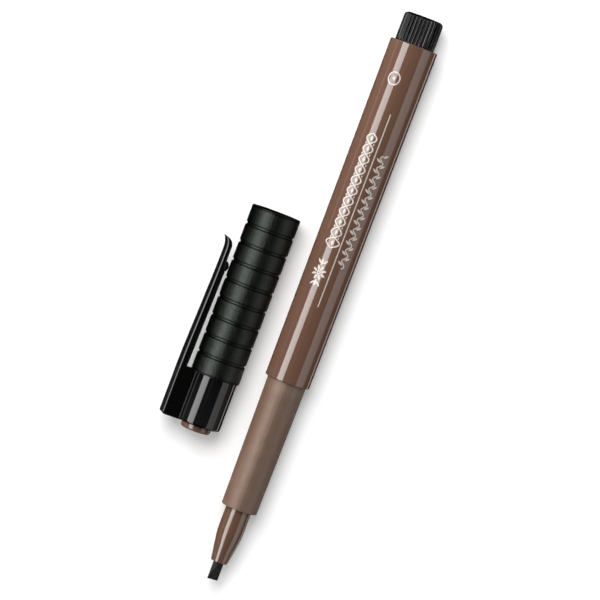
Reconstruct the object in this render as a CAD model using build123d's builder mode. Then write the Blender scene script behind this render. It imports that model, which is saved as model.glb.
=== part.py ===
from build123d import *
from math import cos, radians, sin
import os

# Calligraphy marker with a broad chisel nib. The pen lies along Y with its nib
# towards -Y, and its cap lies beside it on the -X side, both on the plane Z = 0.
# The origin is the middle of the whole footprint, on that plane. Millimetres.

# Lengths along the pen, from the tip of the nib
PEN_LENGTH = 141.1
NOSE_START = 4.5
NOSE_CONE_END = 11.5
GRIP_START = 18.0
BARREL_START = 50.15
PLUG_START = 134.1

# Outer diameters of the pen
NOSE_TIP_D = 4.0
NOSE_D = 6.15
GRIP_FRONT_D = 8.7
GRIP_REAR_D = 9.4
BARREL_FRONT_D = 10.9
BARREL_REAR_D = 11.5
PLUG_D = 9.5

# Nib
NIB_WIDTH = 2.5
NIB_THICK = 2.0
NIB_CORNER_R = 0.2
NIB_EDGE_THICK = 0.6
NIB_CREASE_REAR = 0.15      # where the flat's upper edge starts, sideways of the axis at the nose
NIB_CREASE_TIP = -1.37      # and where it would reach the level of the tip
SHANK_D = 2.9
SHANK_START = 6.5
SHANK_END = 36.0

# Nose: a socket for the nib, a softened end to the cone, and a collar inside the grip
SOCKET_D = 3.3
CONE_BLEND = 1.2            # how far the softening reaches each way along the nose
CONE_BLEND_DROP = 0.06      # how far it stays below the corner it replaces
COLLAR_LENGTH = 8.0
NOSE_TIP_R = 0.15

# Grip, barrel and the ink store inside them
GRIP_FRONT_WALL = 1.6
GRIP_BORE_D = 7.3
GRIP_RIM_R = 0.2
BARREL_BORE_D = 8.6
BARREL_RIM_R = 0.25
BARREL_RIB_COUNT = 4
BARREL_RIB_WIDTH = 0.8
BARREL_RIB_PLAY = 0.1       # between a rib and the film
BARREL_RIB_END = 0.5        # between a rib and the spigots
SPIGOT_LENGTH = 8.0
STORE_START = 30.0
STORE_END = 122.0
STORE_D = 6.8
FILM_D = 7.1
FILM_THICK = 0.13
FILM_FOLD = 1.0
FIT_GAP = 0.02

# Ribbed end plug
RIB_COUNT = 30
RIB_PHASE = 3               # degrees from +X down to the first groove
RIB_GROOVE_R = 0.17
RIB_MARGIN = 0.5
PLUG_CORNER_R = 1.0
PLUG_END_WALL = 1.6
PLUG_BORE_D = 6.6
POST_D = 2.6
POST_FOOT_D = 5.8
POST_FOOT_LENGTH = 1.2

# Cap, lengths from its closed end towards its mouth
CAP_LENGTH = 53.2
CAP_END_LENGTH = 12.0
CAP_END_D = 11.0
CAP_END_R = 0.6
CAP_TUBE_D = 11.9
CAP_BORE_D = 9.7
CAP_MOUTH_CHAMFER = 0.25
RING_COUNT = 9
RING_GROOVE_WIDTH = 0.62
RING_GROOVE_DEPTH = 0.3
RING_EDGE_R = 0.18
CAP_SPIGOT_LENGTH = 8.0
CAP_SPIGOT_D = 10.3
LINER_D = 8.2
LINER_BORE_D = 6.4
LINER_BEAD = 0.07
LINER_BEAD_HALF = 0.6
LINER_BEAD_DEPTH = 2.0
LINER_FLOOR = 0.8
LINER_LENGTH = 17.4
END_WALL = 1.5
BUTTON_D = 7.2
BUTTON_HEIGHT = 1.5
BUTTON_STUD_D = 4.2
BUTTON_R = 0.6

# Clip, radii from the cap's axis
CLIP_ROLL = 15.0
CLIP_WIDTH = 4.0
CLIP_TIP_WIDTH = 3.5
CLIP_TIP_CORNER_R = 0.8
CLIP_OUT_R = 9.38
CLIP_IN_R = 7.62
CLIP_BEVEL = 0.28
CLIP_BALL_S = 37.2
CLIP_BALL_R = 1.5
CLIP_BALL_GAP = 0.26
CLIP_SEAT_GAP = 0.04
CLIP_LENGTH = 44.2
CLIP_BEND_S = 28.0          # half way along the outer line's inward bend
CLIP_BEND_R = 8.99
CLIP_NECK_S = 40.4          # where the outer line turns outwards to the beak
CLIP_NECK_R = 8.74
CLIP_BEAK_R = 9.64
CLIP_BEAK_SLOPE = 0.75
CLIP_BEAK_EDGE = 0.15       # height of the flat left at the beak's outer corner
CLIP_FACE_S = 43.5          # middle of the beak's rounded front face
CLIP_FACE_R = 8.15
CLIP_BROW_S = 42.0          # where that face meets the arm's underside
CLIP_BROW_R = 7.5
CLIP_UNDER_R = 7.02         # underside on the root's side of the ball
FIN_ROOT_R = 4.5
FIN_CORNER_R = 0.6

# Where the two lie
CAP_OFFSET = 16.25          # between the two axes
CAP_END_AT = 33.23          # the cap's closed end, along the pen from the nib
CLIP_REACH = 9.66           # from the cap's axis to the outermost point of the clip
PEN_X = (CAP_OFFSET + CLIP_REACH - BARREL_REAR_D / 2) / 2
PEN_Z = BARREL_REAR_D / 2
CAP_Z = CAP_TUBE_D / 2

OVERLAP = 0.1               # how far joined shapes run into each other
TINY = 0.01


def pen_station(along):
    """Plane across the pen at a distance from the nib tip, facing the rear end."""
    return Plane(origin=(PEN_X, along - PEN_LENGTH / 2, PEN_Z), x_dir=(1, 0, 0), z_dir=(0, 1, 0))


def rim_at(part, along, side):
    """Outermost circular edge at a distance along the axis of a lengthwise plane."""
    level = side.origin.Y + along
    circles = part.edges().filter_by(GeomType.CIRCLE)
    return circles.filter_by_position(Axis.Y, level - TINY, level + TINY).sort_by(SortBy.RADIUS)[-1]


# Lengthwise planes: local x runs along the axis, local y is the radius
pen_side = Plane(origin=(PEN_X, -PEN_LENGTH / 2, PEN_Z), x_dir=(0, 1, 0), z_dir=(1, 0, 0))
cap_origin = (PEN_X - CAP_OFFSET, CAP_END_AT - PEN_LENGTH / 2, CAP_Z)
cap_side = Plane(origin=cap_origin, x_dir=(0, 1, 0), z_dir=(1, 0, 0))
roll = radians(CLIP_ROLL)
clip_out = (-cos(roll), 0, sin(roll))
clip_side = Plane(origin=cap_origin, x_dir=(0, 1, 0), z_dir=(sin(roll), 0, cos(roll)))
clip_plan = Plane(origin=cap_origin, x_dir=(0, 1, 0), z_dir=clip_out)
clip_section = Plane(origin=cap_origin, x_dir=(-sin(roll), 0, -cos(roll)), z_dir=(0, 1, 0))
pen_axis = Axis(pen_side.origin, (0, 1, 0))
cap_axis = Axis(cap_side.origin, (0, 1, 0))

# ---------------------------------------------------------------- pen

# Barrel: a slightly tapered tube with inner ribs that centre the ink store
with BuildPart() as barrel:
    with BuildSketch(pen_side):
        with BuildLine():
            Polyline(
                (BARREL_START, BARREL_BORE_D / 2),
                (BARREL_START, BARREL_FRONT_D / 2),
                (PLUG_START, BARREL_REAR_D / 2),
                (PLUG_START, BARREL_BORE_D / 2),
                close=True,
            )
        make_face()
    revolve(axis=pen_axis)
    fillet([rim_at(barrel, BARREL_START, pen_side), rim_at(barrel, PLUG_START, pen_side)], BARREL_RIM_R)
    rib_height = (BARREL_BORE_D - FILM_D) / 2 - BARREL_RIB_PLAY
    rib_start = BARREL_START + SPIGOT_LENGTH + BARREL_RIB_END
    rib_end = PLUG_START - SPIGOT_LENGTH - BARREL_RIB_END
    with BuildSketch(pen_station(rib_start)):
        with PolarLocations((BARREL_BORE_D - rib_height) / 2 + OVERLAP, BARREL_RIB_COUNT, start_angle=45):
            Rectangle(rib_height + 2 * OVERLAP, BARREL_RIB_WIDTH)
    extrude(amount=rib_end - rib_start)
barrel.part.label = "barrel"

# Grip section: matte tapered sleeve, open at the front for the nose, with a
# spigot at the rear that goes into the barrel
with BuildPart() as grip_section:
    with BuildSketch(pen_side):
        with BuildLine():
            Polyline(
                (GRIP_START, NOSE_D / 2 + FIT_GAP),
                (GRIP_START, GRIP_FRONT_D / 2),
                (BARREL_START, GRIP_REAR_D / 2),
                (BARREL_START, BARREL_BORE_D / 2 - FIT_GAP),
                (BARREL_START + SPIGOT_LENGTH, BARREL_BORE_D / 2 - FIT_GAP),
                (BARREL_START + SPIGOT_LENGTH, GRIP_BORE_D / 2),
                (GRIP_START + GRIP_FRONT_WALL, GRIP_BORE_D / 2),
                (GRIP_START + GRIP_FRONT_WALL, NOSE_D / 2 + FIT_GAP),
                close=True,
            )
        make_face()
    revolve(axis=pen_axis)
    fillet(rim_at(grip_section, GRIP_START, pen_side), GRIP_RIM_R)
grip_section.part.label = "grip_section"

# Nose: glossy cone that carries the nib, with a collar held behind the grip's front wall
with BuildPart() as nose:
    cone_slope = (NOSE_D - NOSE_TIP_D) / 2 / (NOSE_CONE_END - NOSE_START)
    collar_start = GRIP_START + GRIP_FRONT_WALL
    with BuildSketch(pen_side):
        with BuildLine():
            Line((NOSE_START, SOCKET_D / 2), (NOSE_START, NOSE_TIP_D / 2))
            Line(
                (NOSE_START, NOSE_TIP_D / 2),
                (NOSE_CONE_END - CONE_BLEND, NOSE_D / 2 - CONE_BLEND * cone_slope),
            )
            ThreePointArc(
                (NOSE_CONE_END - CONE_BLEND, NOSE_D / 2 - CONE_BLEND * cone_slope),
                (NOSE_CONE_END, NOSE_D / 2 - CONE_BLEND_DROP),
                (NOSE_CONE_END + CONE_BLEND, NOSE_D / 2),
            )
            Polyline(
                (NOSE_CONE_END + CONE_BLEND, NOSE_D / 2),
                (collar_start, NOSE_D / 2),
                (collar_start, GRIP_BORE_D / 2 - FIT_GAP),
                (collar_start + COLLAR_LENGTH, GRIP_BORE_D / 2 - FIT_GAP),
                (collar_start + COLLAR_LENGTH, SHANK_D / 2 + FIT_GAP),
                (SHANK_START, SHANK_D / 2 + FIT_GAP),
                (SHANK_START, SOCKET_D / 2),
                (NOSE_START, SOCKET_D / 2),
            )
        make_face()
    revolve(axis=pen_axis)
    fillet(rim_at(nose, NOSE_START, pen_side), NOSE_TIP_R)
nose.part.label = "nose"


# Nib: a felt bar whose chisel edge is turned about the axis, on a round shank
# that enters the ink store. Each flat is the other one turned half way round.
def nib_flat(side):
    """Plane of the upper (side 1) or lower (side -1) flat of the chisel, facing outwards."""
    rear = Vector(side * NIB_CREASE_REAR, NOSE_START, side * NIB_THICK / 2)
    tip = Vector(side * NIB_CREASE_TIP, 0, side * NIB_THICK / 2)
    edge = Vector(-side * NIB_CREASE_TIP, 0, side * (NIB_EDGE_THICK - NIB_THICK / 2))
    outward = (edge - tip).cross(rear - tip)
    return Plane(origin=pen_side.origin + tip, x_dir=rear - tip, z_dir=outward)


with BuildPart() as nib:
    with BuildSketch(pen_station(0)):
        RectangleRounded(NIB_WIDTH, NIB_THICK, NIB_CORNER_R)
    extrude(amount=SHANK_START)
    split(bisect_by=nib_flat(1), keep=Keep.BOTTOM)
    split(bisect_by=nib_flat(-1), keep=Keep.BOTTOM)
    with BuildSketch(pen_station(SHANK_START)):
        Circle(SHANK_D / 2)
    extrude(amount=SHANK_END - SHANK_START)
nib.part.label = "nib"

# Ink store: a fibre rod, bored at the front for the nib's shank
with BuildPart() as ink_store:
    with BuildSketch(pen_side):
        with BuildLine():
            Polyline(
                (STORE_START, SHANK_D / 2 + FIT_GAP),
                (STORE_START, STORE_D / 2),
                (STORE_END, STORE_D / 2),
                (STORE_END, 0),
                (SHANK_END, 0),
                (SHANK_END, SHANK_D / 2 + FIT_GAP),
                close=True,
            )
        make_face()
    revolve(axis=pen_axis)
ink_store.part.label = "ink_store"

# Film: the thin sleeve round the ink store, turned in over its rear end
with BuildPart() as store_film:
    with BuildSketch(pen_side):
        with BuildLine():
            Polyline(
                (STORE_START, STORE_D / 2 + FIT_GAP),
                (STORE_START, FILM_D / 2),
                (STORE_END + FILM_THICK, FILM_D / 2),
                (STORE_END + FILM_THICK, STORE_D / 2 - FILM_FOLD),
                (STORE_END, STORE_D / 2 - FILM_FOLD),
                (STORE_END, STORE_D / 2 + FIT_GAP),
                close=True,
            )
        make_face()
    revolve(axis=pen_axis)
store_film.part.label = "store_film"

# End plug: a ribbed button, with a hollow spigot in the barrel and a middle
# post that keeps the ink store forward
with BuildPart() as end_plug:
    post_start = STORE_END + FILM_THICK
    with BuildSketch(pen_side):
        with BuildLine():
            Polyline(
                (post_start, 0),
                (post_start, POST_FOOT_D / 2),
                (post_start + POST_FOOT_LENGTH, POST_FOOT_D / 2),
                (post_start + 2 * POST_FOOT_LENGTH, POST_D / 2),
                (PEN_LENGTH - PLUG_END_WALL, POST_D / 2),
                (PEN_LENGTH - PLUG_END_WALL, PLUG_BORE_D / 2),
                (PLUG_START - SPIGOT_LENGTH, PLUG_BORE_D / 2),
                (PLUG_START - SPIGOT_LENGTH, BARREL_BORE_D / 2 - FIT_GAP),
                (PLUG_START, BARREL_BORE_D / 2 - FIT_GAP),
                (PLUG_START, PLUG_D / 2),
                (PEN_LENGTH, PLUG_D / 2),
                (PEN_LENGTH, 0),
                close=True,
            )
        make_face()
    revolve(axis=pen_axis)
    fillet(rim_at(end_plug, PEN_LENGTH, pen_side), PLUG_CORNER_R)
    groove_start = PLUG_START + RIB_MARGIN
    groove_end = PEN_LENGTH - PLUG_CORNER_R - RIB_GROOVE_R
    with BuildSketch(pen_station(groove_start)):
        with PolarLocations(PLUG_D / 2, RIB_COUNT, start_angle=RIB_PHASE):
            Circle(RIB_GROOVE_R)
    extrude(amount=groove_end - groove_start, mode=Mode.SUBTRACT)
end_plug.part.label = "end_plug"

# ---------------------------------------------------------------- cap

# Cap tube: matte, with equal raised rings and a bore that fits the grip and the end plug
with BuildPart() as cap_tube:
    spigot_end = CAP_END_LENGTH + CAP_SPIGOT_LENGTH
    ring_pitch = (CAP_LENGTH - CAP_END_LENGTH) / RING_COUNT
    with BuildSketch(cap_side):
        with BuildLine():
            Polyline(
                (CAP_END_LENGTH, CAP_SPIGOT_D / 2),
                (CAP_END_LENGTH, CAP_TUBE_D / 2),
                (CAP_LENGTH, CAP_TUBE_D / 2),
                (CAP_LENGTH, CAP_BORE_D / 2),
                (spigot_end, CAP_BORE_D / 2),
                (spigot_end, CAP_SPIGOT_D / 2),
                close=True,
            )
        make_face()
        with Locations(*[(CAP_END_LENGTH + ring_pitch * n, CAP_TUBE_D / 2) for n in range(1, RING_COUNT)]):
            Rectangle(RING_GROOVE_WIDTH, 2 * RING_GROOVE_DEPTH, mode=Mode.SUBTRACT)
    revolve(axis=cap_axis)
    circles = cap_tube.edges().filter_by(GeomType.CIRCLE)
    fillet(circles.filter_by(lambda edge: abs(edge.radius - CAP_TUBE_D / 2) < TINY), RING_EDGE_R)
    mouth_rim = cap_tube.edges().filter_by(GeomType.CIRCLE).group_by(Axis.Y)[-1].sort_by(SortBy.RADIUS)[0]
    chamfer(mouth_rim, CAP_MOUTH_CHAMFER)
cap_tube.part.label = "cap_tube"

# Cap end: glossy closed end with a spigot in the tube, and a fin that carries the clip
with BuildPart() as cap_end:
    with BuildSketch(cap_side):
        with BuildLine():
            Polyline(
                (0, BUTTON_STUD_D / 2),
                (0, CAP_END_D / 2),
                (CAP_END_LENGTH, CAP_END_D / 2),
                (CAP_END_LENGTH, CAP_SPIGOT_D / 2 - FIT_GAP),
                (spigot_end, CAP_SPIGOT_D / 2 - FIT_GAP),
                (spigot_end, LINER_D / 2),
                (END_WALL, LINER_D / 2),
                (END_WALL, BUTTON_STUD_D / 2),
                close=True,
            )
        make_face()
    revolve(axis=cap_axis)
    fillet(rim_at(cap_end, 0, cap_side), CAP_END_R)
    hinge_r = (CLIP_OUT_R + CLIP_IN_R) / 2
    knuckle_r = (CLIP_OUT_R - CLIP_IN_R) / 2
    with BuildSketch(clip_section) as fin_section:
        with Locations((0, (FIN_ROOT_R + CLIP_OUT_R) / 2)):
            Rectangle(CLIP_WIDTH, CLIP_OUT_R - FIN_ROOT_R)
        chamfer(fin_section.vertices().group_by(Axis.Y)[-1], CLIP_BEVEL)
    extrude(amount=CAP_END_LENGTH)
    with BuildSketch(clip_side):
        with Locations((CAP_END_LENGTH, hinge_r)):
            Circle(knuckle_r + CLIP_SEAT_GAP)
        with Locations((0, CLIP_OUT_R)):
            Rectangle(2 * FIN_CORNER_R, 2 * FIN_CORNER_R)
        with Locations((FIN_CORNER_R, CLIP_OUT_R - FIN_CORNER_R)):
            Circle(FIN_CORNER_R, mode=Mode.SUBTRACT)
    extrude(amount=CLIP_WIDTH, both=True, mode=Mode.SUBTRACT)
cap_end.part.label = "cap_end"

# Liner: the inner cap that seals round the nose, with a low bead inside its mouth
with BuildPart() as cap_liner:
    liner_end = END_WALL + LINER_LENGTH
    bead_s = liner_end - LINER_BEAD_DEPTH
    with BuildSketch(cap_side):
        with BuildLine():
            Polyline(
                (END_WALL, 0),
                (END_WALL, LINER_D / 2 - FIT_GAP),
                (liner_end, LINER_D / 2 - FIT_GAP),
                (liner_end, LINER_BORE_D / 2),
                (bead_s + LINER_BEAD_HALF, LINER_BORE_D / 2),
            )
            ThreePointArc(
                (bead_s + LINER_BEAD_HALF, LINER_BORE_D / 2),
                (bead_s, LINER_BORE_D / 2 - LINER_BEAD),
                (bead_s - LINER_BEAD_HALF, LINER_BORE_D / 2),
            )
            Polyline(
                (bead_s - LINER_BEAD_HALF, LINER_BORE_D / 2),
                (END_WALL + LINER_FLOOR, LINER_BORE_D / 2),
                (END_WALL + LINER_FLOOR, 0),
                (END_WALL, 0),
            )
        make_face()
    revolve(axis=cap_axis)
cap_liner.part.label = "cap_liner"

# Colour button: shows the ink's colour, pressed into the cap's closed end
with BuildPart() as colour_button:
    with BuildSketch(cap_side):
        with BuildLine():
            Polyline(
                (-BUTTON_HEIGHT, 0),
                (-BUTTON_HEIGHT, BUTTON_D / 2),
                (0, BUTTON_D / 2),
                (0, BUTTON_STUD_D / 2 - FIT_GAP),
                (END_WALL, BUTTON_STUD_D / 2 - FIT_GAP),
                (END_WALL, 0),
                close=True,
            )
        make_face()
    revolve(axis=cap_axis)
    fillet(rim_at(colour_button, -BUTTON_HEIGHT, cap_side), BUTTON_R)
colour_button.part.label = "colour_button"

# Clip: springy arm with a ball that presses on the tube and a beak that flares
# outwards. Its outer line runs straight on from the fin, then bends inwards.
with BuildPart() as clip:
    beak_edge_r = CLIP_BEAK_R - CLIP_BEAK_EDGE
    with BuildSketch(clip_side):
        with BuildLine():
            ThreePointArc(
                (CAP_END_LENGTH, CLIP_IN_R),
                (CAP_END_LENGTH - knuckle_r, hinge_r),
                (CAP_END_LENGTH, CLIP_OUT_R),
            )
            Spline(
                (CAP_END_LENGTH, CLIP_OUT_R),
                (CLIP_BEND_S, CLIP_BEND_R),
                (CLIP_NECK_S, CLIP_NECK_R),
                tangents=((1, 0), (1, 0)),
            )
            Spline(
                (CLIP_NECK_S, CLIP_NECK_R),
                (CLIP_LENGTH, CLIP_BEAK_R),
                tangents=((1, 0), (1, CLIP_BEAK_SLOPE)),
            )
            Line((CLIP_LENGTH, CLIP_BEAK_R), (CLIP_LENGTH, beak_edge_r))
            ThreePointArc(
                (CLIP_LENGTH, beak_edge_r),
                (CLIP_FACE_S, CLIP_FACE_R),
                (CLIP_BROW_S, CLIP_BROW_R),
            )
            Polyline(
                (CLIP_BROW_S, CLIP_BROW_R),
                (CLIP_BALL_S, CLIP_BROW_R),
                (CLIP_BALL_S, CLIP_UNDER_R),
                (CAP_END_LENGTH, CLIP_IN_R),
            )
        make_face()
    extrude(amount=CLIP_WIDTH / 2, both=True)
    with BuildSketch(clip_plan) as arm_plan:
        with BuildLine():
            Polyline(
                (CAP_END_LENGTH - 2 * knuckle_r, -CLIP_WIDTH / 2),
                (CAP_END_LENGTH, -CLIP_WIDTH / 2),
                (CLIP_LENGTH + OVERLAP, -CLIP_TIP_WIDTH / 2),
                (CLIP_LENGTH + OVERLAP, CLIP_TIP_WIDTH / 2),
                (CAP_END_LENGTH, CLIP_WIDTH / 2),
                (CAP_END_LENGTH - 2 * knuckle_r, CLIP_WIDTH / 2),
                close=True,
            )
        make_face()
        fillet(arm_plan.vertices().group_by(Axis.X)[-1], CLIP_TIP_CORNER_R)
    extrude(amount=CLIP_BEAK_R + 1, mode=Mode.INTERSECT)
    ball_low = CAP_TUBE_D / 2 + CLIP_BALL_GAP
    ball_root = ball_low + CLIP_BALL_R + OVERLAP
    ball_axis = Axis(clip_side.from_local_coords((CLIP_BALL_S, 0, 0)), clip_out)
    with BuildSketch(clip_side):
        with BuildLine():
            Line((CLIP_BALL_S, ball_root), (CLIP_BALL_S, ball_low))
            RadiusArc((CLIP_BALL_S, ball_low), (CLIP_BALL_S + CLIP_BALL_R, ball_low + CLIP_BALL_R), -CLIP_BALL_R)
            Polyline(
                (CLIP_BALL_S + CLIP_BALL_R, ball_low + CLIP_BALL_R),
                (CLIP_BALL_S + CLIP_BALL_R, ball_root),
                (CLIP_BALL_S, ball_root),
            )
        make_face()
    revolve(axis=ball_axis)
clip.part.label = "clip"

os.makedirs("parts", exist_ok=True)
for piece in (barrel, grip_section, nose, nib, ink_store, store_film, end_plug,
              cap_tube, cap_end, cap_liner, colour_button, clip):
    export_step(piece.part, "parts/" + piece.part.label + ".step")
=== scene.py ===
from math import cos, exp, pi, radians, sin, sqrt

import bmesh
import bpy
from mathutils import Matrix, Vector, noise


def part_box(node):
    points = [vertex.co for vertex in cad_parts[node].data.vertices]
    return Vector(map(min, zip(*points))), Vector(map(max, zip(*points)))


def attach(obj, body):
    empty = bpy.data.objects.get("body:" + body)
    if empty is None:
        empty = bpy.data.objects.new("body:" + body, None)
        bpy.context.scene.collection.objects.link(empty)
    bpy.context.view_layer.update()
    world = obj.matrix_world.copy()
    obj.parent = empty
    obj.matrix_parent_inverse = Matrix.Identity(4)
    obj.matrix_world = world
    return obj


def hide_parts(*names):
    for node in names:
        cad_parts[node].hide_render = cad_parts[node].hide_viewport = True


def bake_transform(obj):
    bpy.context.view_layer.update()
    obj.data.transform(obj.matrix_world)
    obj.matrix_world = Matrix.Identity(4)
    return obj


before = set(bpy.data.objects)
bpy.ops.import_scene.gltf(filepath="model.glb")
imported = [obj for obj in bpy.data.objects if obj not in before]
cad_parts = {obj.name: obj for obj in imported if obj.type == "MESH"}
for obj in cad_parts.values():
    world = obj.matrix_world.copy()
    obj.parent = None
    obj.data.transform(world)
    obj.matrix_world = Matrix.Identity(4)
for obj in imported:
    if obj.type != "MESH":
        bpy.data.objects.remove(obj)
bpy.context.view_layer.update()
MM = 0.001

# ------------------------------------------------------------------ places, from the frame


def middle(node):
    """Centre of a CAD node's box."""
    low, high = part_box(node)
    return (low + high) / 2


PEN_AXIS = middle("barrel")
CAP_AXIS = middle("cap_tube")
NIB_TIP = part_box("nib")[0].y
BARREL_FRONT, BARREL_REAR = (corner.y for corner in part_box("barrel"))
PLUG_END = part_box("end_plug")[1].y
CAP_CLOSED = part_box("cap_end")[0].y
BARREL_REAR_R = (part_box("barrel")[1].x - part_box("barrel")[0].x) / 2
BARREL_TAPER = 0.3                       # the barrel's radius grows by this, nib end to plug end
BARREL_FRONT_R = BARREL_REAR_R - BARREL_TAPER * MM

ROLL = radians(15)                       # the clip stands this far above level
CLIP_OUT = Vector((-cos(ROLL), 0, sin(ROLL)))
CLIP_SIDE = Vector((sin(ROLL), 0, cos(ROLL)))


def pen_point(along, across, up):
    """Point in metres from millimetres: along from the nib's tip, across and up from the pen's axis."""
    return Vector((PEN_AXIS.x + across * MM, NIB_TIP + along * MM, PEN_AXIS.z + up * MM))


def clip_point(along, side, out):
    """Point in metres from millimetres: along from the cap's closed end, then sideways and out."""
    start = Vector((CAP_AXIS.x, CAP_CLOSED + along * MM, CAP_AXIS.z))
    return start + CLIP_SIDE * side * MM + CLIP_OUT * out * MM


# ------------------------------------------------------------------ camera

VIEW_ROLL = radians(20.66)       # the pen leans this far clockwise from upright in the frame
VIEW_TILT = radians(4.0)         # the camera stands a little towards the end plug
VIEW_DISTANCE = 0.703
LENS = 180.0
SENSOR = 36.0
LOOK_AT = pen_point(69.15, -3.93, 0)


def make_camera():
    """Long lens, looking down on the pen from the photograph's angle."""
    away = Vector((0, sin(VIEW_TILT), cos(VIEW_TILT)))
    up_hint = Vector((-sin(VIEW_ROLL), cos(VIEW_ROLL), 0))
    up = (up_hint - up_hint.dot(away) * away).normalized()
    right = up.cross(away)
    turn = Matrix((right, up, away)).transposed().to_4x4()
    data = bpy.data.cameras.new("camera")
    data.lens = LENS
    data.sensor_width = SENSOR
    data.clip_start = 0.01
    camera = bpy.data.objects.new("camera", data)
    camera.matrix_world = Matrix.Translation(LOOK_AT + away * VIEW_DISTANCE) @ turn
    bpy.context.collection.objects.link(camera)
    bpy.context.scene.camera = camera


make_camera()

# ------------------------------------------------------------------ floor and light


STRIP_DISTANCE = 0.3             # of the lights that only show in gloss
STRIP_LENGTH = 0.9
SOFTBOX_DISTANCE = 0.7           # of the lights that shade everything else
FLOOR_SIZE = 6.0


def area_light(name, angle, distance, width, length, radiance, glossy, forward=0, fade=None):
    """Soft box at an angle from straight up towards +X, its long side along Y.

    It lights either gloss or everything else. fade gives its strength at one long edge and the other."""
    centre = Vector((distance * sin(angle), forward, distance * cos(angle)))
    data = bpy.data.lights.new(name, "AREA")
    data.shape = "RECTANGLE"
    data.size = width
    data.size_y = length
    data.energy = radiance * pi * width * length
    if fade:
        data.use_nodes = True
        nodes, links = data.node_tree.nodes, data.node_tree.links
        place = nodes.new("ShaderNodeNewGeometry")
        split = nodes.new("ShaderNodeSeparateXYZ")
        ramp = nodes.new("ShaderNodeMapRange")
        links.new(place.outputs["Parametric"], split.inputs[0])
        links.new(split.outputs[0], ramp.inputs["Value"])
        ramp.inputs["To Min"].default_value, ramp.inputs["To Max"].default_value = fade
        links.new(ramp.outputs[0], nodes["Emission"].inputs["Strength"])
    light = bpy.data.objects.new(name, data)
    away = Vector((sin(angle), forward / distance, cos(angle))).normalized()
    side = Vector((0, 1, 0)).cross(away).normalized()
    light.matrix_world = (
        Matrix.Translation(centre) @ Matrix((side, away.cross(side), away)).transposed().to_4x4()
    )
    light.visible_glossy = glossy
    light.visible_diffuse = not glossy
    light.visible_camera = False
    bpy.context.collection.objects.link(light)
    return data


def make_stage():
    """White floor, faint even sky and the studio lights."""
    bpy.ops.mesh.primitive_plane_add(size=FLOOR_SIZE, location=(0, 0, 0))
    floor = bpy.context.object
    floor.name = "floor"
    paper = bpy.data.materials.new("floor_white")
    paper.use_nodes = True
    shader = paper.node_tree.nodes["Principled BSDF"]
    shader.inputs["Base Color"].default_value = (0.93, 0.93, 0.93, 1)
    shader.inputs["Roughness"].default_value = 0.9
    shader.inputs["Specular IOR Level"].default_value = 0.1
    floor.data.materials.append(paper)
    floor.visible_glossy = False

    world = bpy.data.worlds.new("studio")
    world.use_nodes = True
    sky = world.node_tree.nodes["Background"]
    sky.inputs["Color"].default_value = (1, 1, 1, 1)
    sky.inputs["Strength"].default_value = 0.43
    world.cycles_visibility.glossy = False
    bpy.context.scene.world = world

    for name, angle, width, radiance, fade in (
        ("strip_left", -36.9, 0.165, 8.2, (1.15, 0.92)),
        ("panel_right", 69.5, 0.235, 1.5, (1.15, 0.7)),
        ("strip_low", -83, 0.028, 1.2, None),
        ("strip_edge", 129, 0.04, 2.2, None),
    ):
        area_light(name, radians(angle), STRIP_DISTANCE, width, STRIP_LENGTH, radiance, True, fade=fade)
    area_light("key", radians(-14), SOFTBOX_DISTANCE, 0.42, 0.42, 8.7, False, forward=0.31)
    fill = area_light("fill_left", radians(-79), SOFTBOX_DISTANCE, 0.4, 0.6, 7.2, False, forward=0.1)
    fill.use_shadow = False


make_stage()
bpy.context.scene.view_settings.view_transform = "Standard"
bpy.context.scene.view_settings.look = "None"

# ------------------------------------------------------------------ materials


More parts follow.
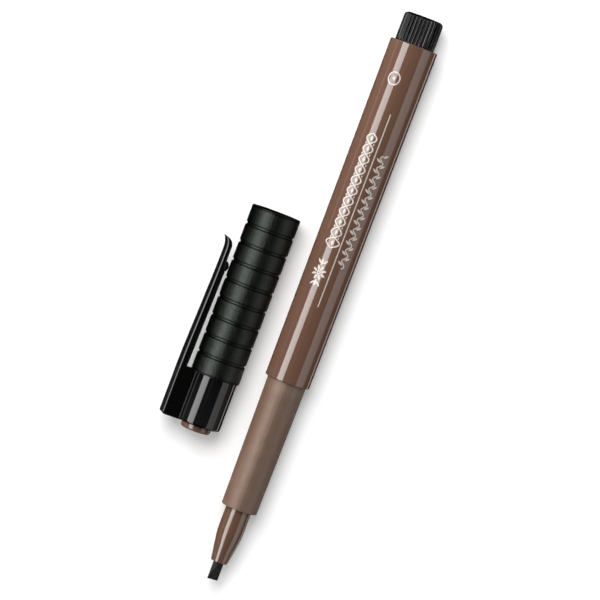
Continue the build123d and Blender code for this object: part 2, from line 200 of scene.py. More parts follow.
class Nodes:
    """Small helper that builds one node material."""

    def __init__(self, name):
        self.material = bpy.data.materials.new(name)
        self.material.use_nodes = True
        self.tree = self.material.node_tree
        self.shader = self.tree.nodes["Principled BSDF"]
        self.coords = self.tree.nodes.new("ShaderNodeTexCoord").outputs["Object"]

    def add(self, kind, **settings):
        node = self.tree.nodes.new(kind)
        for key, value in settings.items():
            setattr(node, key, value)
        return node

    def link(self, source, target):
        self.tree.links.new(source, target)

    def set(self, **values):
        for key, value in values.items():
            self.shader.inputs[key.replace("_", " ")].default_value = value

    def noise(self, size_mm, detail=3.0, stretch=(1, 1, 1), roughness=0.55):
        """Noise whose features are about size_mm across, drawn out along an axis by stretch."""
        mapping = self.add("ShaderNodeMapping")
        self.link(self.coords, mapping.inputs["Vector"])
        mapping.inputs["Scale"].default_value = [1 / s for s in stretch]
        texture = self.add("ShaderNodeTexNoise")
        self.link(mapping.outputs["Vector"], texture.inputs["Vector"])
        texture.inputs["Scale"].default_value = 1 / (size_mm * MM)
        texture.inputs["Detail"].default_value = detail
        texture.inputs["Roughness"].default_value = roughness
        return texture.outputs["Fac"]

    def spread(self, value, low, high, from_low=0.3, from_high=0.7):
        """Maps a noise onto a range of numbers."""
        node = self.add("ShaderNodeMapRange")
        self.link(value, node.inputs["Value"])
        node.inputs["From Min"].default_value = from_low
        node.inputs["From Max"].default_value = from_high
        node.inputs["To Min"].default_value = low
        node.inputs["To Max"].default_value = high
        return node.outputs["Result"]

    def mix(self, factor, first, second):
        """Blends two colours by a factor socket."""
        node = self.add("ShaderNodeMix", data_type="RGBA")
        self.link(factor, node.inputs["Factor"])
        for place, colour in ((6, first), (7, second)):
            if isinstance(colour, bpy.types.NodeSocket):
                self.link(colour, node.inputs[place])
            else:
                node.inputs[place].default_value = (*colour, 1)
        return node.outputs[2]

    def wear_and_highlight_edges(self, low=0.515, high=0.6):
        """Bright where the surface is sharply convex: rubbed wear on the plastics, a painted highlight along
        the felt nib's creases.
        """
        geometry = self.add("ShaderNodeNewGeometry")
        return self.spread(geometry.outputs["Pointiness"], 0, 1, low, high)

    def bump(self, height, distance_mm, strength=1.0, below=None):
        node = self.add("ShaderNodeBump")
        self.link(height, node.inputs["Height"])
        node.inputs["Distance"].default_value = distance_mm * MM
        node.inputs["Strength"].default_value = strength
        if below is not None:
            self.link(below, node.inputs["Normal"])
        return node.outputs["Normal"]


def scaled(colour, factor):
    return tuple(channel * factor for channel in colour)


def gloss_plastic(name, colour, edge, roughness=0.1, specular=0.5):
    """Polished moulding: faint flow lines along it, handling smudges, and lighter rubbed edges."""
    n = Nodes(name)
    flow = n.noise(6.0, 2.0, (1, 14, 1))
    body = n.mix(n.spread(flow, 0, 1), scaled(colour, 0.93), scaled(colour, 1.07))
    n.link(n.mix(n.wear_and_highlight_edges(), body, edge), n.shader.inputs["Base Color"])
    smudge = n.noise(9.0, 4.0, (1, 2.2, 1), 0.6)
    n.link(n.spread(smudge, roughness * 0.75, roughness * 1.5), n.shader.inputs["Roughness"])
    orange_peel = n.noise(1.6, 2.0)
    n.link(n.bump(orange_peel, 0.0009), n.shader.inputs["Normal"])
    n.set(Specular_IOR_Level=specular, IOR=1.5)
    return n.material


def matte_plastic(name, colour, edge, roughness, grain_mm, depth_mm, mottle=0.25, specular=0.5):
    """Spark-eroded moulding: fine sandy grain, faint mottling and lighter rubbed edges."""
    n = Nodes(name)
    cloud = n.noise(2.4, 4.0)
    body = n.mix(n.spread(cloud, 0, 1), scaled(colour, 1 - mottle), scaled(colour, 1 + mottle))
    n.link(n.mix(n.wear_and_highlight_edges(), body, edge), n.shader.inputs["Base Color"])
    patch = n.noise(1.1, 3.0)
    n.link(n.spread(patch, roughness * 0.85, roughness * 1.15), n.shader.inputs["Roughness"])
    sand = n.noise(grain_mm, 4.0, (1, 1, 1), 0.7)
    n.link(n.bump(sand, depth_mm), n.shader.inputs["Normal"])
    n.set(Specular_IOR_Level=specular, IOR=1.5)
    return n.material


RING_COUNT = 9
# the groove walls, where the ringed tube gets its painted shade
GROOVE_WALL = 0.33               # from the middle of a groove, in millimetres
GROOVE_WALL_HALF = 0.14
GREENISH = (0.9, 1.0, 0.91, 1.0)  # tint of the black plastic's shine
RING_SPECULAR = 0.27
WALL_SPECULAR = 0.06


def ringed_plastic(name, colour, roughness):
    """Leathery black moulding, with painted shade along the two walls of every groove: darkest there, and
    shining less.
    """
    n = Nodes(name)
    along = n.add("ShaderNodeSeparateXYZ")
    n.link(n.coords, along.inputs[0])
    tube_start, tube_end = (corner.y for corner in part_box("cap_tube"))
    ring_pitch = (tube_end - tube_start) / RING_COUNT
    turns = n.add("ShaderNodeMapRange", clamp=False)
    n.link(along.outputs["Y"], turns.inputs["Value"])
    turns.inputs["From Min"].default_value = tube_start
    turns.inputs["From Max"].default_value = tube_start + ring_pitch
    fraction = n.add("ShaderNodeMath", operation="PINGPONG")
    n.link(turns.outputs[0], fraction.inputs[0])
    fraction.inputs[1].default_value = 0.5
    groove_wall_shade = n.add("ShaderNodeMath", operation="COMPARE")
    n.link(fraction.outputs[0], groove_wall_shade.inputs[0])
    groove_wall_shade.inputs[1].default_value = GROOVE_WALL * MM / ring_pitch
    groove_wall_shade.inputs[2].default_value = GROOVE_WALL_HALF * MM / ring_pitch
    cloud = n.noise(1.3, 4.0)
    body = n.mix(n.spread(cloud, 0, 1), scaled(colour, 0.7), scaled(colour, 1.5))
    # painted shade: on the groove walls the colour drops to a tenth, and the shine to WALL_SPECULAR
    n.link(n.mix(groove_wall_shade.outputs[0], body, scaled(colour, 0.1)), n.shader.inputs["Base Color"])
    level = n.add("ShaderNodeMapRange")
    n.link(groove_wall_shade.outputs[0], level.inputs["Value"])
    level.inputs["To Min"].default_value = RING_SPECULAR
    level.inputs["To Max"].default_value = WALL_SPECULAR
    n.link(level.outputs[0], n.shader.inputs["Specular IOR Level"])
    patch = n.noise(1.1, 3.0)
    n.link(n.spread(patch, roughness * 0.85, roughness * 1.15), n.shader.inputs["Roughness"])
    leather = n.noise(0.36, 3.0, (1, 1, 1), 0.6)
    grain = n.noise(0.2, 3.0)
    n.link(n.bump(grain, 0.01, below=n.bump(leather, 0.1)), n.shader.inputs["Normal"])
    n.set(IOR=1.5, Specular_Tint=GREENISH)
    return n.material


def felt(name, colour, pale):
    """Pressed fibres, running lengthwise, soaked with ink."""
    n = Nodes(name)
    fibre = n.noise(0.09, 5.0, (1, 9, 1), 0.7)
    n.link(n.mix(n.spread(fibre, 0, 1), colour, pale), n.shader.inputs["Base Color"])
    damp = n.noise(0.8, 3.0, (1, 3, 1))
    n.link(n.spread(damp, 0.3, 0.45), n.shader.inputs["Roughness"])
    n.link(n.bump(fibre, 0.03), n.shader.inputs["Normal"])
    n.set(Specular_IOR_Level=0.25)
    return n.material


def chisel_felt(name, colour, pale, painted_light_colour):
    """Ink-soaked felt, with painted light: paler where the nib faces straight up, and a painted highlight
    along its creases.
    """
    n = Nodes(name)
    fibre = n.noise(0.09, 5.0, (1, 9, 1), 0.7)
    body = n.mix(n.spread(fibre, 0, 1), colour, pale)
    facing = n.add("ShaderNodeSeparateXYZ")
    n.link(n.add("ShaderNodeTexCoord").outputs["Normal"], facing.inputs[0])
    # painted light: faces turned straight up are made paler, as lit from above
    flat = n.mix(n.spread(facing.outputs["Z"], 0, 1, 0.91, 0.97), body, painted_light_colour)
    # painted highlight along the sharp creases
    n.link(n.mix(n.wear_and_highlight_edges(0.53, 0.62), flat, painted_light_colour), n.shader.inputs["Base Color"])
    damp = n.noise(0.8, 3.0, (1, 3, 1))
    n.link(n.spread(damp, 0.3, 0.45), n.shader.inputs["Roughness"])
    n.link(n.bump(fibre, 0.03), n.shader.inputs["Normal"])
    n.set(Specular_IOR_Level=0.15)
    return n.material


def film_material(name):
    """Thin clear sleeve."""
    n = Nodes(name)
    crinkle = n.noise(3.0, 3.0, (1, 5, 1))
    body = n.mix(n.spread(crinkle, 0, 1), (0.62, 0.62, 0.63), (0.8, 0.8, 0.8))
    n.link(body, n.shader.inputs["Base Color"])
    n.link(n.spread(crinkle, 0.12, 0.3), n.shader.inputs["Roughness"])
    n.link(n.bump(crinkle, 0.03), n.shader.inputs["Normal"])
    n.set(Alpha=0.5)
    return n.material


def print_material(name):
    """Pad-printed ink: off-white, a little uneven, with tiny pinholes."""
    n = Nodes(name)
    uneven = n.noise(0.5, 4.0)
    ink = n.mix(n.spread(uneven, 0, 1), (0.4, 0.36, 0.325), (0.5, 0.455, 0.42))
    n.link(ink, n.shader.inputs["Base Color"])
    n.link(n.spread(uneven, 0.3, 0.5), n.shader.inputs["Roughness"])
    n.link(n.bump(n.noise(0.12, 3.0), 0.006), n.shader.inputs["Normal"])
    return n.material


SEPIA = (0.117, 0.062, 0.042)
SEPIA_PALE = (0.14, 0.085, 0.062)
BLACK = (0.0022, 0.0024, 0.0021)
BLACK_PALE = (0.012, 0.0125, 0.012)

barrel_plastic = gloss_plastic("barrel_plastic", SEPIA, SEPIA_PALE, roughness=0.08, specular=0.55)
nose_plastic = gloss_plastic("nose_plastic", scaled(SEPIA, 0.9), SEPIA_PALE, roughness=0.09, specular=0.55)
button_plastic = gloss_plastic("button_plastic", SEPIA, SEPIA_PALE, roughness=0.12)
grip_plastic = matte_plastic(
    "grip_plastic", (0.118, 0.069, 0.046), (0.15, 0.1, 0.07),
    roughness=0.5, grain_mm=0.55, depth_mm=0.02, mottle=0.09, specular=0.34,
)
black_gloss = gloss_plastic("black_gloss", BLACK, BLACK_PALE, roughness=0.07, specular=0.36)
black_plug = gloss_plastic(
    "black_plug", (0.0006, 0.0006, 0.0005), (0.002, 0.002, 0.002), roughness=0.2, specular=0.3,
)
black_matte = ringed_plastic("black_matte", (0.0004, 0.0007, 0.0004), roughness=0.35)
liner_plastic = matte_plastic(
    "liner_plastic", (0.02, 0.02, 0.02), (0.04, 0.04, 0.04), roughness=0.5, grain_mm=0.5, depth_mm=0.006,
)
# the last colour is painted light, for the nib's upward faces and creases
nib_felt = chisel_felt(
    "nib_felt", (0.0012, 0.0011, 0.001), (0.005, 0.0045, 0.004), painted_light_colour=(0.03, 0.03, 0.022),
)
store_fibre = felt("store_fibre", (0.06, 0.03, 0.02), (0.2, 0.12, 0.09))
store_film = film_material("store_film")
white_print = print_material("white_print")


def dress(node, material):
    """Gives a CAD node its material."""
    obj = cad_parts[node]
    if not obj.material_slots:
        obj.data.materials.append(material)
    for slot in obj.material_slots:
        slot.material = material


for node, material in (
    ("barrel", barrel_plastic), ("grip_section", grip_plastic), ("nose", nose_plastic),
    ("nib", nib_felt), ("ink_store", store_fibre), ("store_film", store_film),
    ("end_plug", black_plug), ("cap_tube", black_matte), ("cap_end", black_gloss),
    ("cap_liner", liner_plastic), ("colour_button", button_plastic), ("clip", black_gloss),
):
    dress(node, material)

# ------------------------------------------------------------------ mesh helpers


class Shell:
    """Collects points and faces of one mesh."""

    def __init__(self):
        self.points = []
        self.faces = []

    def ring(self, points):
        first = len(self.points)
        self.points.extend(points)
        return list(range(first, len(self.points)))

    def bridge(self, one, other, closed=True):
        """Quads between two rows of the same length."""
        count = len(one)
        for i in range(count if closed else count - 1):
            j = (i + 1) % count
            self.faces.append((one[i], one[j], other[j], other[i]))

    def cap(self, ring):
        """Closes a ring with a fan round its middle."""
        centre = sum((self.points[i] for i in ring), Vector()) / len(ring)
        hub = self.ring([centre])[0]
        for i in range(len(ring)):
            self.faces.append((ring[i], ring[(i + 1) % len(ring)], hub))

    def loft(self, rings):
        """A closed body through rows of points."""
        rows = [self.ring(points) for points in rings]
        for one, other in zip(rows, rows[1:]):
            self.bridge(one, other)
        self.cap(rows[0])
        self.cap(rows[-1])

    def build(self, name, material, smooth=40):
        """Object with outward normals, smooth except at edges sharper than an angle."""
        mesh = bpy.data.meshes.new(name)
        mesh.from_pydata(self.points, [], self.faces)
        work = bmesh.new()
        work.from_mesh(mesh)
        bmesh.ops.recalc_face_normals(work, faces=work.faces)
        work.to_mesh(mesh)
        work.free()
        mesh.shade_smooth()
        mesh.set_sharp_from_angle(angle=radians(smooth))
        mesh.materials.append(material)
        obj = bpy.data.objects.new(name, mesh)
        bpy.context.collection.objects.link(obj)
        return obj


def corner(centre, radius, start, end, steps):
    """Points on an arc, from one angle to another in degrees."""
    return [
        (centre[0] + radius * cos(radians(a)), centre[1] + radius * sin(radians(a)))
        for a in (start + (end - start) * i / steps for i in range(steps + 1))
    ]


def eased(points, at):
    """Smooth curve through (place, value, slope) rows, held level beyond its ends."""
    if at <= points[0][0]:
        return points[0][1]
    for (x0, y0, m0), (x1, y1, m1) in zip(points, points[1:]):
        if at <= x1:
            span = x1 - x0
            t = (at - x0) / span
            return (
                y0 * (1 + 2 * t) * (1 - t) ** 2
                + m0 * span * t * (1 - t) ** 2
                + y1 * t * t * (3 - 2 * t)
                + m1 * span * t * t * (t - 1)
            )
    return points[-1][1]


# ------------------------------------------------------------------ ribbed end plug

PLUG_R = 4.75
PLUG_RIBS = 30
PLUG_RIB_PHASE = radians(9)
PLUG_RIB_DEPTH = 0.36
PLUG_CORNER = 1.0
RIB_STEPS = 10
SPIGOT_LENGTH = 7.9
SPIGOT_R = 4.27
SPIGOT_BORE_R = 3.5
END_DISH_R = 2.2             # a ring of points across the plug's flat end
END_HUB_R = 0.8


def make_plug():
    """Spigot, ribbed grip with rounded end, and flat end face, in one turned body."""
    barrel_rear = (BARREL_REAR - NIB_TIP) / MM
    end = (PLUG_END - NIB_TIP) / MM
    corner_middle = (end - PLUG_CORNER, PLUG_R - PLUG_CORNER)
    spigot_start = barrel_rear - SPIGOT_LENGTH
    profile = [(spigot_start, SPIGOT_BORE_R, 0), (spigot_start, SPIGOT_R, 0), (barrel_rear, SPIGOT_R, 0)]
    profile += [(barrel_rear + 0.02, 4.5, 0), (barrel_rear + 0.04, 4.64, 0)]
    profile += [(barrel_rear + 0.12, PLUG_R, 0.3)]
    profile += [(barrel_rear + 0.5, PLUG_R, 1), (end - 3.4, PLUG_R, 1), (end - 1.6, PLUG_R, 1)]
    for along, radius in corner(corner_middle, PLUG_CORNER, 90, 0, 9):
        fade = min(1, max(0, (radius - PLUG_R + PLUG_CORNER) / PLUG_CORNER))
        profile.append((along, radius, fade ** 0.6))
    profile += [(end, END_DISH_R, 0), (end, END_HUB_R, 0)]
    rings = []
    for along, radius, ribbed in profile:
        ring = []
        for i in range(PLUG_RIBS * RIB_STEPS):
            angle = 2 * pi * i / (PLUG_RIBS * RIB_STEPS)
            groove = (0.5 + 0.5 * cos(PLUG_RIBS * (angle - PLUG_RIB_PHASE))) ** 2
            r = radius - PLUG_RIB_DEPTH * ribbed * groove
            ring.append(pen_point(along, r * cos(angle), r * sin(angle)))
        rings.append(ring)
    shell = Shell()
    shell.loft(rings)
    plug = shell.build("plug_ribbed", black_plug, 50)
    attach(plug, "pen")
    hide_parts("end_plug")


make_plug()

# ------------------------------------------------------------------ clip and its fin, one moulding

FIN_TOP = 9.38               # radii from the cap's axis
FIN_ROOT = 4.9
FIN_FOOT = 5.235             # where the fillet at its foot starts
FOOT_FILLET = 0.14
FIN_HALF = 2.0
FIN_END = 12.0
FIN_CORNER = 0.6
PROUD = 0.02                 # how far the moulding stands outside the CAD fin that it covers
PROUD_FADE = 20              # the arm stands less and less proud over this length
OUTER_EDGE = 0.42
FACET_TILT = 34              # of the outer edge, from the clip's sides
FACET_CROWN = 0.05
INNER_EDGE = 0.3
CLIP_END = 44.2
BEAK_EDGE = 9.49
BALL_AT = 37.2
BALL_R = 1.5
BALL_LOW = 6.21
BALL_STEPS = 8
BALL_TURN_STEPS = 32
BALL_SUNK = (7.72, 7.9)      # where the ball's skirt runs up inside the arm
ROOT_FLARE = 0.35            # radius under the arm where it leaves the fin
UNDER_START = 7.61
BEAK_START = 42.0
BEAK_UNDER = 7.5
BEAK_ROUND_START = 43.5      # where the beak's sides begin to round
BEAK_ROUND_R = 0.8
ARM_NARROWS = 0.25           # half the width lost over ARM_TAPER
ARM_TAPER = 32.3
EDGE_STEPS = 6

ARM_OUTER = [(FIN_END, 9.38, 0), (28.0, 8.99, -0.026), (40.4, 8.74, 0), (CLIP_END, 9.64, 0.75)]
ARM_UNDER = [(FIN_END + ROOT_FLARE, UNDER_START, -0.0238), (36.2, 7.04, -0.0238), (38.2, BEAK_UNDER, 0),
             (BEAK_START, BEAK_UNDER, 0)]


def circle_through(a, b, c):
    """Centre and radius of the circle through three points."""
    (ax, ay), (bx, by), (cx, cy) = a, b, c
    d = 2 * (ax * (by - cy) + bx * (cy - ay) + cx * (ay - by))
    aa, bb, cc = ax * ax + ay * ay, bx * bx + by * by, cx * cx + cy * cy
    x = (aa * (by - cy) + bb * (cy - ay) + cc * (ay - by)) / d
    y = (aa * (cx - bx) + bb * (ax - cx) + cc * (bx - ax)) / d
    return x, y, sqrt((ax - x) ** 2 + (ay - y) ** 2)


BEAK_FACE = circle_through((BEAK_START, BEAK_UNDER), (BEAK_ROUND_START, 8.15), (CLIP_END, BEAK_EDGE))


def arm_under(along):
    """Radius of the arm's underside."""
    if along < ARM_UNDER[0][0]:
        t = (ARM_UNDER[0][0] - along) / ROOT_FLARE
        return UNDER_START - ROOT_FLARE * (1 - sqrt(max(0, 1 - t * t)))
    if along <= BEAK_START:
        return eased(ARM_UNDER, along)
    x, y, r = BEAK_FACE
    return y - sqrt(max(0, r * r - (along - x) ** 2)) if along < x + r else y


def arm_half(along):
    """Half the arm's width."""
    half = FIN_HALF - ARM_NARROWS * max(0, along - FIN_END) / ARM_TAPER
    into = along - BEAK_ROUND_START
    if into > 0:
        half -= BEAK_ROUND_R - sqrt(max(0, BEAK_ROUND_R ** 2 - into * into))
    return half


def rounded_edge(half, top, size):
    """Outer edge of the clip: a slightly crowned facet between two small radii."""
    tilt = radians(FACET_TILT)
    run, rise = size * sin(tilt), size * cos(tilt)
    low, high = (half, top - rise), (half - run, top)
    points = []
    for i in range(EDGE_STEPS + 1):
        t = i / EDGE_STEPS
        crown = FACET_CROWN * size * sin(pi * t)
        points.append((
            low[0] + (high[0] - low[0]) * t + crown * cos(tilt) - FACET_CROWN * size,
            low[1] + (high[1] - low[1]) * t + crown * sin(tilt) - FACET_CROWN * size,
        ))
    return [(half - FACET_CROWN * size, top - rise - 0.12 * size)] + points


def fin_section(along):
    """Section of the fin, with a fillet where it meets the cap's end."""
    top = FIN_TOP + PROUD
    if along < FIN_CORNER:
        top -= FIN_CORNER - sqrt(FIN_CORNER ** 2 - (FIN_CORNER - max(along, 0)) ** 2)
    half = FIN_HALF + PROUD
    upper = rounded_edge(half, top, OUTER_EDGE)
    foot = corner((half + FOOT_FILLET, FIN_FOOT), FOOT_FILLET, 246, 180, EDGE_STEPS - 1)
    foot = [(half - 0.3, FIN_ROOT)] + foot
    right = foot + upper
    left = [(-side, out) for side, out in reversed(right)]
    return [clip_point(along, side, out) for side, out in right + left]


def arm_section(along):
    """Section of the arm: a bar with rounded edges, as proud as the fin where the two meet."""
    proud = PROUD * max(0, 1 - (along - FIN_END) / PROUD_FADE)
    top, under = eased(ARM_OUTER, along) + proud, arm_under(along)
    half = arm_half(along) + proud
    outer = min(OUTER_EDGE, 0.45 * (top - under))
    inner = min(INNER_EDGE, 0.45 * (top - under))
    right = corner((half - inner, under + inner), inner, -90, 0, EDGE_STEPS)
    right += rounded_edge(half, top, outer)
    left = [(-side, out) for side, out in reversed(right)]
    return [clip_point(along, side, out) for side, out in right + left]


def make_clip():
    """Fin, arm and ball as one body."""
    rings = [fin_section(along) for along in (-PROUD, 0.06, 0.15, 0.3, 0.45, 0.6, 1.5, 3, 5, 7, 9)]
    rings += [fin_section(along) for along in (10, 10.6, 11.0, 11.4, 11.8, FIN_END + 0.012)]
    stations = [12.02, 12.06, 12.12, 12.2, 12.35, 12.6, 13, 13.6]
    stations += [14.4 + 1.1 * i for i in range(20)] + [36.2 + 0.5 * i for i in range(12)]
    stations += [42.15 + 0.15 * i for i in range(9)]
    stations += [43.45, 43.6, 43.72, 43.84, 43.94, 44.03, 44.1, 44.15, CLIP_END]
    rings += [arm_section(along) for along in stations]
    shell = Shell()
    shell.loft(rings)

    ball = []
    for i in range(1, BALL_STEPS + 1):
        angle = pi / 2 * i / BALL_STEPS
        ball.append((BALL_R * sin(angle), BALL_LOW + BALL_R * (1 - cos(angle))))
    ball += [(BALL_R + 0.03, out) for out in BALL_SUNK]
    rings = []
    for radius, out in ball:
        ring = []
        for i in range(BALL_TURN_STEPS):
            turn = 2 * pi * i / BALL_TURN_STEPS
            ring.append(clip_point(BALL_AT + radius * cos(turn), radius * sin(turn), out))
        rings.append(ring)
    shell.loft(rings)

    clip = shell.build("clip_moulding", black_gloss, 35)
    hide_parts("clip")
    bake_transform(clip)


make_clip()

# ------------------------------------------------------------------ felt nib

NIB_FRONT = 7.0              # the part of the nib that is modelled finely
FELT_VOXEL = 0.055
FELT_INSET = 0.06            # how far the bar is made smaller, so that its fibres stay inside the nib
FELT_DEPTH = 0.05
NIB_WIDTH = 2.5
NIB_THICK = 2.0
NIB_EDGE_THICK = 0.6
NIB_CREASE_REAR = 0.15
NIB_CREASE_TIP = -1.37
NOSE_START = 4.5
SHANK = ((6.6, 1.2), (6.6, 1.43), (20, 1.44), (34, 1.44), (35.7, 1.2), (36, 0.6))
SHANK_STEPS = 48


def nib_plane(side):
    """A point and the outward direction of the chisel's upper (1) or lower (-1) flat, in millimetres."""
    rear = Vector((side * NIB_CREASE_REAR, NOSE_START, side * NIB_THICK / 2))
    tip = Vector((side * NIB_CREASE_TIP, 0, side * NIB_THICK / 2))
    edge = Vector((-side * NIB_CREASE_TIP, 0, side * (NIB_EDGE_THICK - NIB_THICK / 2)))
    outward = (edge - tip).cross(rear - tip)
    return tip, outward * (1 if outward.z * side > 0 else -1)


def make_nib():
    """Felt bar cut to a turned chisel, its skin roughened inwards, with its shank behind."""
    work = bmesh.new()
    bmesh.ops.create_cube(work, size=1)
    for vertex in work.verts:
        vertex.co = Vector((
            vertex.co.x * (NIB_WIDTH - FELT_INSET), (vertex.co.y + 0.5) * NIB_FRONT + FELT_INSET / 2,
            vertex.co.z * (NIB_THICK - FELT_INSET),
        ))
    for side in (1, -1):
        place, outward = nib_plane(side)
        place = place - outward.normalized() * FELT_INSET / 2
        geometry = work.verts[:] + work.edges[:] + work.faces[:]
        bmesh.ops.bisect_plane(work, geom=geometry, plane_co=place, plane_no=outward, clear_outer=True)
        bmesh.ops.holes_fill(work, edges=[edge for edge in work.edges if edge.is_boundary])
    bmesh.ops.recalc_face_normals(work, faces=work.faces)
    mesh = bpy.data.meshes.new("nib_felt_tip")
    work.to_mesh(mesh)
    work.free()
    nib = bpy.data.objects.new("nib_felt_tip", mesh)
    bpy.context.collection.objects.link(nib)
    remesh = nib.modifiers.new("remesh", "REMESH")
    remesh.mode = "VOXEL"
    remesh.voxel_size = FELT_VOXEL
    soften = nib.modifiers.new("soften", "SMOOTH")
    soften.iterations = 3
    bpy.context.view_layer.update()
    fine = bpy.data.meshes.new_from_object(nib.evaluated_get(bpy.context.evaluated_depsgraph_get()))
    nib.modifiers.clear()
    nib.data = fine
    normals = [vertex.normal.copy() for vertex in fine.vertices]
    for vertex, normal in zip(fine.vertices, normals):
        place = vertex.co
        fibre = noise.noise(Vector((place.x * 9, place.y * 1.3, place.z * 9)))
        lump = noise.noise(place * 1.7)
        place = place + normal * FELT_DEPTH * (0.5 * fibre + 0.5 * lump)
        vertex.co = pen_point(place.y, place.x, place.z)
    fine.shade_smooth()
    fine.materials.clear()
    fine.materials.append(nib_felt)
    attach(nib, "pen")
    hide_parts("nib")

    shell = Shell()
    shell.loft([
        [
            pen_point(along, radius * cos(2 * pi * i / SHANK_STEPS), radius * sin(2 * pi * i / SHANK_STEPS))
            for i in range(SHANK_STEPS)
        ]
        for along, radius in SHANK
    ])
    shank = shell.build("nib_shank", nib_felt)
    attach(shank, "pen")


make_nib()

# ------------------------------------------------------------------ print on the barrel

INK_UP = 0.012
INK_DOWN = 0.02
INK_COLUMNS = 4

RULE_FROM, RULE_TO = 69.4, 117.2         # along the barrel, from the nib's tip
RULE_ACROSS = 0.52
BRAID_FROM, BRAID_LENGTH = 83.4, 28.4
BRAID_ACROSS = -1.65
BRAID_TURNS = 11
VINE_FROM, VINE_LENGTH = 79.6, 28.0
VINE_ACROSS = 2.5
VINE_WAVES = 11
VINE_LEAVES = 22
SPRIG_AT, SPRIG_ACROSS = 77.1, -2.2
SPRIG_PETALS = 8
MARK_AT, MARK_ACROSS = 125.3, -1.75


def barrel_radius(along):
    """Outer radius of the barrel in millimetres at a distance from the nib's tip."""
    front, rear = (BARREL_FRONT - NIB_TIP) / MM, (BARREL_REAR - NIB_TIP) / MM
    share = (along - front) / (rear - front)
    return (BARREL_FRONT_R + (BARREL_REAR_R - BARREL_FRONT_R) * share) / MM


def wrapped(along, across, height):
    """Point on the barrel, across measured round it from the line straight above the axis."""
    radius = barrel_radius(along)
    angle = across / radius
    return pen_point(along, (radius + height) * sin(angle), (radius + height) * cos(angle))


def stroke(shell, path, closed=False):
    """A printed stroke through (along, across, width) rows, as a thin closed strip wrapped on the barrel."""
    rows = []
    count = len(path)
    for i, (along, across, width) in enumerate(path):
        before = path[(i - 1) % count if closed else max(i - 1, 0)]
        after = path[(i + 1) % count if closed else min(i + 1, count - 1)]
        run = Vector((after[0] - before[0], after[1] - before[1])).normalized()
        normal = Vector((-run.y, run.x))
        top, bottom = [], []
        for k in range(INK_COLUMNS + 1):
            offset = width * (k / INK_COLUMNS - 0.5)
            place = (along + normal.x * offset, across + normal.y * offset)
            top.append(wrapped(*place, INK_UP))
            bottom.append(wrapped(*place, -INK_DOWN))
        rows.append(shell.ring(top + bottom[::-1]))
    for i in range(count if closed else count - 1):
        shell.bridge(rows[i], rows[(i + 1) % count])
    if not closed:
        for row in (rows[0], rows[-1]):
            for k in range(INK_COLUMNS):
                shell.faces.append((row[k], row[k + 1], row[-k - 2], row[-k - 1]))


def line(shell, start, end, width, steps):
    (a0, c0), (a1, c1) = start, end
    stroke(shell, [
        (a0 + (a1 - a0) * i / steps, c0 + (c1 - c0) * i / steps, width) for i in range(steps + 1)
    ])


def loop(shell, along, across, half_length, half_width, width, steps=20):
    """A printed ring."""
    stroke(shell, [
        (along + half_length * cos(2 * pi * i / steps), across + half_width * sin(2 * pi * i / steps), width)
        for i in range(steps)
    ], closed=True)


def lozenge(shell, along, across, half_length, half_width, steps=10):
    """A filled lozenge, pointed at both ends along the barrel."""
    stroke(shell, [
        (
            along + half_length * (2 * i / steps - 1),
            across,
            max(0.03, 2 * half_width * (1 - abs(2 * i / steps - 1))),
        )
        for i in range(steps + 1)
    ])


def leaf(shell, along, across, length, angle, half_width, steps=12):
    """A filled leaf that grows from a point at an angle to the barrel."""
    stroke(shell, [
        (
            along + length * cos(angle) * i / steps,
            across + length * sin(angle) * i / steps,
            0.03 + 2 * half_width * sin(pi * i / steps) ** 0.8,
        )
        for i in range(steps + 1)
    ])


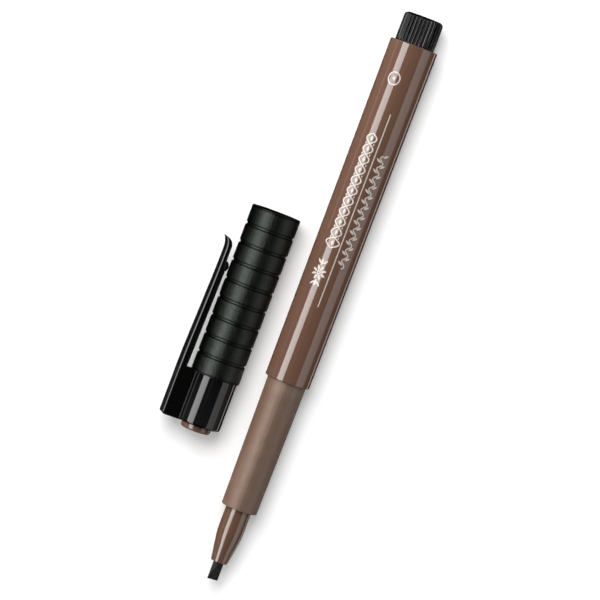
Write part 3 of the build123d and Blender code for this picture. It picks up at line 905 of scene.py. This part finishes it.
def make_print():
    """Generic ornament and a plain rule, in pad-printed strokes. Nothing here is lettering."""
    rule = Shell()
    line(rule, (RULE_FROM, RULE_ACROSS), (RULE_TO, RULE_ACROSS), 0.25, 160)

    braid = Shell()
    steps = 260
    for strand in (-1, 1):
        stroke(braid, [
            (
                BRAID_FROM + BRAID_LENGTH * i / steps,
                BRAID_ACROSS + strand * (1.2 + 0.5 * exp(-((i / steps - 0.06) / 0.05) ** 2))
                * sin(pi * BRAID_TURNS * i / steps),
                0.2 + 0.16 * abs(sin(pi * BRAID_TURNS * i / steps)),
            )
            for i in range(steps + 1)
        ])
    for i in range(BRAID_TURNS):
        along = BRAID_FROM + BRAID_LENGTH * (i + 0.5) / BRAID_TURNS
        lozenge(braid, along, BRAID_ACROSS, 0.75, 0.34)
        for side in (-1, 1):
            if i:
                lozenge(braid, along - BRAID_LENGTH / 2 / BRAID_TURNS, BRAID_ACROSS + side, 0.3, 0.16)

    vine = Shell()
    steps = 190
    stroke(vine, [
        (VINE_FROM + VINE_LENGTH * i / steps, VINE_ACROSS + 0.55 * sin(2 * pi * i / steps * VINE_WAVES), 0.27)
        for i in range(steps + 1)
    ])
    for i in range(VINE_LEAVES):
        along = VINE_FROM + 0.2 + VINE_LENGTH * (i + 0.5) / VINE_LEAVES
        up = 1 if i % 2 else -1
        leaf(vine, along, VINE_ACROSS + 0.1 * up, 1.45, up * radians(58), 0.25)

    sprig = Shell()
    for i in range(SPRIG_PETALS):
        turn = 2 * pi * (i + 0.5) / SPRIG_PETALS
        leaf(sprig, SPRIG_AT + 0.5 * cos(turn), SPRIG_ACROSS + 0.5 * sin(turn), 1.35, turn, 0.26)
    loop(sprig, SPRIG_AT, SPRIG_ACROSS, 0.34, 0.34, 0.2)
    for end in (-1, 1):
        leaf(sprig, SPRIG_AT + end * 1.75, SPRIG_ACROSS, 1.6, pi / 2 - end * pi / 2, 0.3)
        for side in (-1, 1):
            turn = pi / 2 - end * (pi / 2 - side * 0.75)
            leaf(sprig, SPRIG_AT + end * 2.1, SPRIG_ACROSS + side * 0.25, 1.45, turn, 0.2)

    mark = Shell()
    loop(mark, MARK_AT, MARK_ACROSS, 1.5, 1.4, 0.3, 32)
    lozenge(mark, MARK_AT, MARK_ACROSS, 0.6, 0.4)

    for name, shell in (
        ("print_rule", rule), ("print_braid", braid), ("print_vine", vine),
        ("print_sprig", sprig), ("print_size_mark", mark),
    ):
        piece = shell.build(name, white_print, 30)
        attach(piece, "pen")


make_print()
